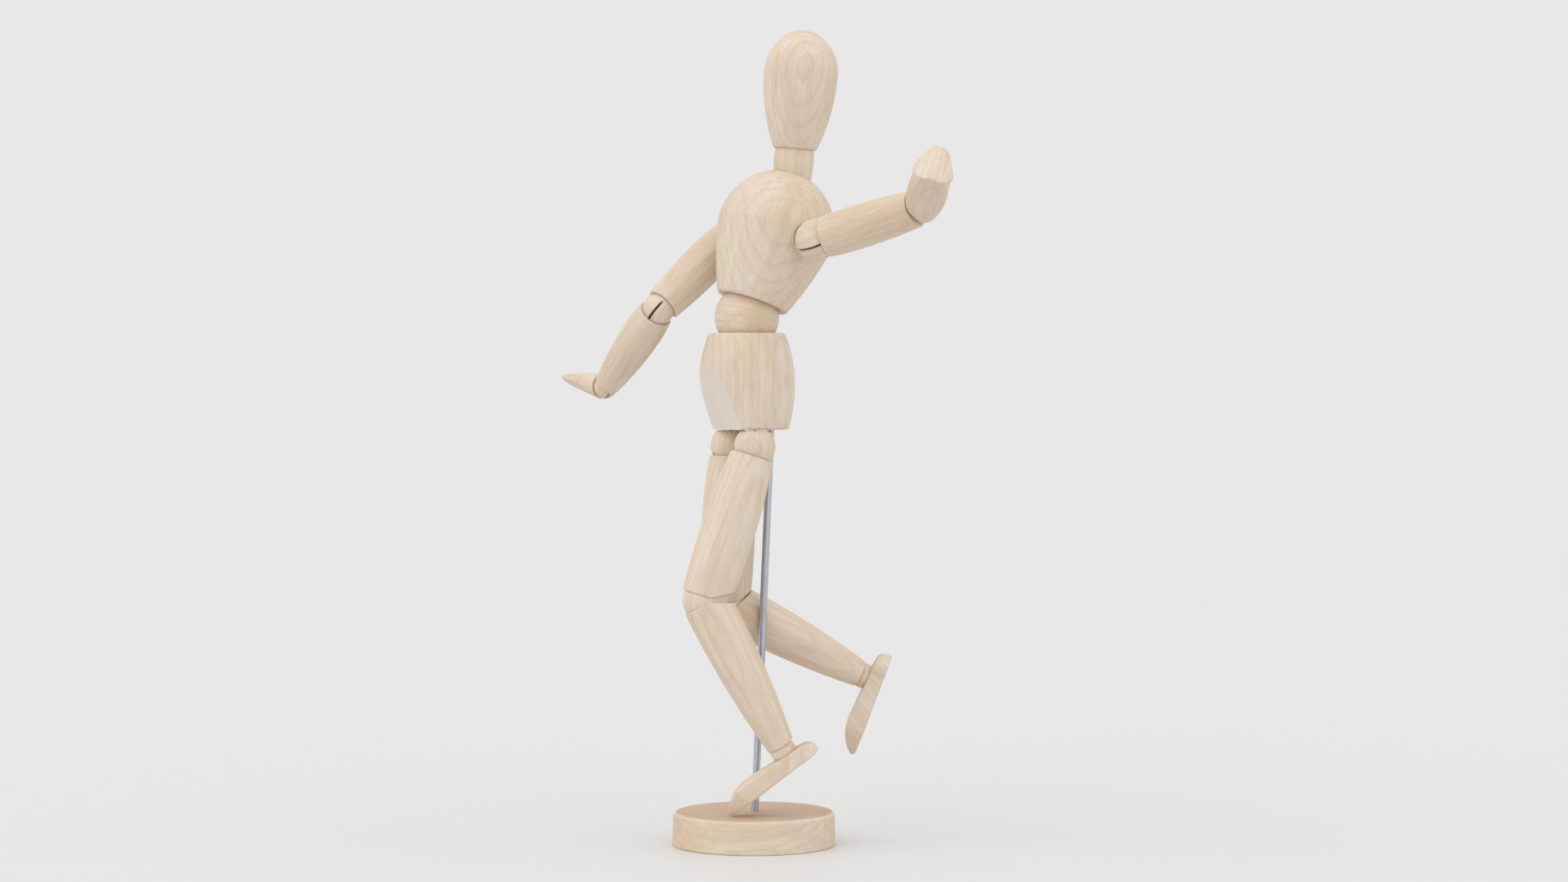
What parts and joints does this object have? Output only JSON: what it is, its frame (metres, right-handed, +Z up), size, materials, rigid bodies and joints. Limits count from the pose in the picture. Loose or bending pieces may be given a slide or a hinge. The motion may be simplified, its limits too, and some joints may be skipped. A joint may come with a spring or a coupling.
{
  "type": "artist mannequin",
  "caption": "Jointed wooden artist mannequin posed running on one toe, with ball joints held by inner springs, a steel support rod and a round base.",
  "frame": {"origin": "centre of the underside of the round base", "axes": "+Z up; the pelvis faces -Y; the figure's left side is towards +X"},
  "size_m": [0.2259, 0.1182, 0.3329],
  "materials": {
    "wood_limb": "unfinished, fine sanded",
    "wood_ball": "unfinished, turned",
    "wood_base": "unfinished, planed",
    "steel_rod": "bright drawn",
    "steel_wire": "drawn wire",
    "steel_nail": "plain"
  },
  "bodies": {
    "base": {"base": "wood_base"},
    "support_rod": {"support_rod": "steel_rod"},
    "pelvis": {"pelvis": "wood_limb", "pelvis_nails": "steel_nail"},
    "waist": {"waist_ball": "wood_ball", "waist_link": "steel_wire"},
    "chest": {"chest": "wood_limb", "chest_nails": "steel_nail", "chest_eye": "steel_wire"},
    "neck": {"neck": "wood_limb"},
    "head": {"head": "wood_limb", "neck_tie": "steel_wire"},
    "shoulder_left": {"shoulder_left_ball": "wood_ball", "shoulder_left_link": "steel_wire"},
    "upper_arm_left": {"upper_arm_left": "wood_limb", "upper_arm_left_spring": "steel_wire"},
    "elbow_left": {"elbow_left_ball": "wood_ball", "elbow_left_link": "steel_wire"},
    "forearm_left": {"forearm_left": "wood_limb", "forearm_left_spring": "steel_wire"},
    "wrist_left": {"wrist_left_ball": "wood_ball", "wrist_left_link": "steel_wire"},
    "hand_left": {"hand_left": "wood_limb", "hand_left_eye": "steel_wire"},
    "hip_left": {"hip_left_ball": "wood_ball", "hip_left_link": "steel_wire"},
    "thigh_left": {"thigh_left": "wood_limb", "thigh_left_spring": "steel_wire"},
    "knee_left": {"knee_left_ball": "wood_ball", "knee_left_link": "steel_wire"},
    "shin_left": {"shin_left": "wood_limb", "shin_left_spring": "steel_wire"},
    "ankle_left": {"ankle_left_ball": "wood_ball", "ankle_left_link": "steel_wire"},
    "foot_left": {"foot_left": "wood_limb", "foot_left_eye": "steel_wire"},
    "shoulder_right": {"shoulder_right_ball": "wood_ball", "shoulder_right_link": "steel_wire"},
    "upper_arm_right": {"upper_arm_right": "wood_limb", "upper_arm_right_spring": "steel_wire"},
    "elbow_right": {"elbow_right_ball": "wood_ball", "elbow_right_link": "steel_wire"},
    "forearm_right": {"forearm_right": "wood_limb", "forearm_right_spring": "steel_wire"},
    "wrist_right": {"wrist_right_ball": "wood_ball", "wrist_right_link": "steel_wire"},
    "hand_right": {"hand_right": "wood_limb", "hand_right_eye": "steel_wire"},
    "hip_right": {"hip_right_ball": "wood_ball", "hip_right_link": "steel_wire"},
    "thigh_right": {"thigh_right": "wood_limb", "thigh_right_spring": "steel_wire"},
    "knee_right": {"knee_right_ball": "wood_ball", "knee_right_link": "steel_wire"},
    "shin_right": {"shin_right": "wood_limb", "shin_right_spring": "steel_wire"},
    "ankle_right": {"ankle_right_ball": "wood_ball", "ankle_right_link": "steel_wire"},
    "foot_right": {"foot_right": "wood_limb", "foot_right_eye": "steel_wire"}
  },
  "joints": [
    {"name": "rod_turn", "type": "hinge", "parent": "base", "child": "support_rod", "pos_m": [0, 0, 0.004], "axis": [0, 0.0454, 0.999], "range_deg": [-90, 30]},
    {"name": "pelvis_slide", "type": "slide", "parent": "support_rod", "child": "pelvis", "axis": [0, 0.0454, 0.999], "range_m": [0, 0.012]},
    {"name": "waist_turn", "type": "hinge", "parent": "pelvis", "child": "waist", "pos_m": [0, -0.0031, 0.2154], "axis": [0, 0, 1], "range_deg": [-40, 20]},
    {"name": "waist_lean", "type": "hinge", "parent": "waist", "child": "chest", "pos_m": [0, -0.0031, 0.2154], "axis": [0.9995, -0.0314, 0], "range_deg": [-6, 36]},
    {"name": "neck_nod", "type": "hinge", "parent": "chest", "child": "neck", "pos_m": [0.00063, 0.01682, 0.27136], "axis": [0.9838, 0.165, -0.0697], "range_deg": [-28, 0.5]},
    {"name": "head_turn", "type": "hinge", "parent": "neck", "child": "head", "pos_m": [0.00063, 0.01682, 0.27136], "axis": [0.06, 0.0632, 0.9962], "range_deg": [-40, 40]},
    {"name": "shoulder_left_turn", "type": "hinge", "parent": "chest", "child": "shoulder_left", "pos_m": [0.03116, 0.01373, 0.246], "axis": [0.9838, 0.165, -0.0697], "range_deg": [-60, 30]},
    {"name": "shoulder_left_bend", "type": "hinge", "parent": "shoulder_left", "child": "upper_arm_left", "pos_m": [0.03116, 0.01373, 0.246], "axis": [0.1427, -0.4861, 0.8622], "range_deg": [-38, 30]},
    {"name": "elbow_left_turn", "type": "hinge", "parent": "upper_arm_left", "child": "elbow_left", "pos_m": [0.06395, 0.0451, 0.25826], "axis": [0.6976, 0.6674, 0.2608], "range_deg": [-25, 25]},
    {"name": "elbow_left_bend", "type": "hinge", "parent": "elbow_left", "child": "forearm_left", "pos_m": [0.06395, 0.0451, 0.25826], "axis": [0.3421, 0.0097, -0.9396], "range_deg": [-60, 1]},
    {"name": "wrist_left_turn", "type": "hinge", "parent": "forearm_left", "child": "wrist_left", "pos_m": [0.10763, 0.02944, 0.274], "axis": [0.8915, -0.3195, 0.3212], "range_deg": [-60, 60]},
    {"name": "wrist_left_bend", "type": "hinge", "parent": "wrist_left", "child": "hand_left", "pos_m": [0.10763, 0.02944, 0.274], "axis": [0.4135, 0.8635, -0.2887], "range_deg": [-40, 5]},
    {"name": "hip_left_turn", "type": "hinge", "parent": "pelvis", "child": "hip_left", "pos_m": [0.0122, -0.0049, 0.163], "axis": [0, 0, -1], "range_deg": [-12, 3]},
    {"name": "hip_left_bend", "type": "hinge", "parent": "hip_left", "child": "thigh_left", "pos_m": [0.0122, -0.0049, 0.163], "axis": [0.9781, -0.2079, 0], "range_deg": [-28, 18]},
    {"name": "knee_left_turn", "type": "hinge", "parent": "thigh_left", "child": "knee_left", "pos_m": [0.00798, -0.02476, 0.10125], "axis": [-0.0649, -0.3055, -0.95], "range_deg": [0, 20]},
    {"name": "knee_left_bend", "type": "hinge", "parent": "knee_left", "child": "shin_left", "pos_m": [0.00798, -0.02476, 0.10125], "axis": [0.9521, -0.3039, 0.0326], "range_deg": [0, 4]},
    {"name": "ankle_left_turn", "type": "hinge", "parent": "shin_left", "child": "ankle_left", "pos_m": [0.01938, 0.0044, 0.04021], "axis": [0.1662, 0.425, -0.8898], "range_deg": [-30, 5]},
    {"name": "ankle_left_bend", "type": "hinge", "parent": "ankle_left", "child": "foot_left", "pos_m": [0.01938, 0.0044, 0.04021], "axis": [0.9201, -0.3914, -0.0151], "range_deg": [-30, 0]},
    {"name": "shoulder_right_turn", "type": "hinge", "parent": "chest", "child": "shoulder_right", "pos_m": [-0.03043, 0.0034, 0.25037], "axis": [-0.9838, -0.165, 0.0697], "range_deg": [-60, 30]},
    {"name": "shoulder_right_bend", "type": "hinge", "parent": "shoulder_right", "child": "upper_arm_right", "pos_m": [-0.03043, 0.0034, 0.25037], "axis": [0.1614, -0.6474, 0.7449], "range_deg": [-90, 0.5]},
    {"name": "elbow_right_turn", "type": "hinge", "parent": "upper_arm_right", "child": "elbow_right", "pos_m": [-0.02596, -0.03143, 0.21913], "axis": [0.0949, -0.7411, -0.6647], "range_deg": [-25, 25]},
    {"name": "elbow_right_bend", "type": "hinge", "parent": "elbow_right", "child": "forearm_right", "pos_m": [-0.02596, -0.03143, 0.21913], "axis": [0.4092, 0.6377, -0.6526], "range_deg": [-58, 1]},
    {"name": "wrist_right_turn", "type": "hinge", "parent": "forearm_right", "child": "wrist_right", "pos_m": [-0.06164, -0.04137, 0.18704], "axis": [-0.728, -0.203, -0.6548], "range_deg": [-60, 60]},
    {"name": "wrist_right_bend", "type": "hinge", "parent": "wrist_right", "child": "hand_right", "pos_m": [-0.06164, -0.04137, 0.18704], "axis": [-0.1584, 0.9791, -0.1274], "range_deg": [-49, 0.2]},
    {"name": "hip_right_turn", "type": "hinge", "parent": "pelvis", "child": "hip_right", "pos_m": [-0.0122, -0.0049, 0.163], "axis": [0, 0, 1], "range_deg": [0, 40]},
    {"name": "hip_right_bend", "type": "hinge", "parent": "hip_right", "child": "thigh_right", "pos_m": [-0.0122, -0.0049, 0.163], "axis": [0.9986, -0.0523, 0], "range_deg": [-42, 4]},
    {"name": "knee_right_turn", "type": "hinge", "parent": "thigh_right", "child": "knee_right", "pos_m": [-0.01232, -0.00717, 0.09804], "axis": [0.0018, 0.0349, 0.9994], "range_deg": [0, 8]},
    {"name": "knee_right_bend", "type": "hinge", "parent": "knee_right", "child": "shin_right", "pos_m": [-0.01232, -0.00717, 0.09804], "axis": [0.9986, -0.0523, 0], "range_deg": [-24, 0.2]},
    {"name": "ankle_right_turn", "type": "hinge", "parent": "shin_right", "child": "ankle_right", "pos_m": [-0.00913, 0.05366, 0.06647], "axis": [0.0465, 0.8866, -0.4602], "range_deg": [-30, 30]},
    {"name": "ankle_right_bend", "type": "hinge", "parent": "ankle_right", "child": "foot_right", "pos_m": [-0.00913, 0.05366, 0.06647], "axis": [0.2182, -0.4586, -0.8614], "range_deg": [-30, 10]}
  ]
}
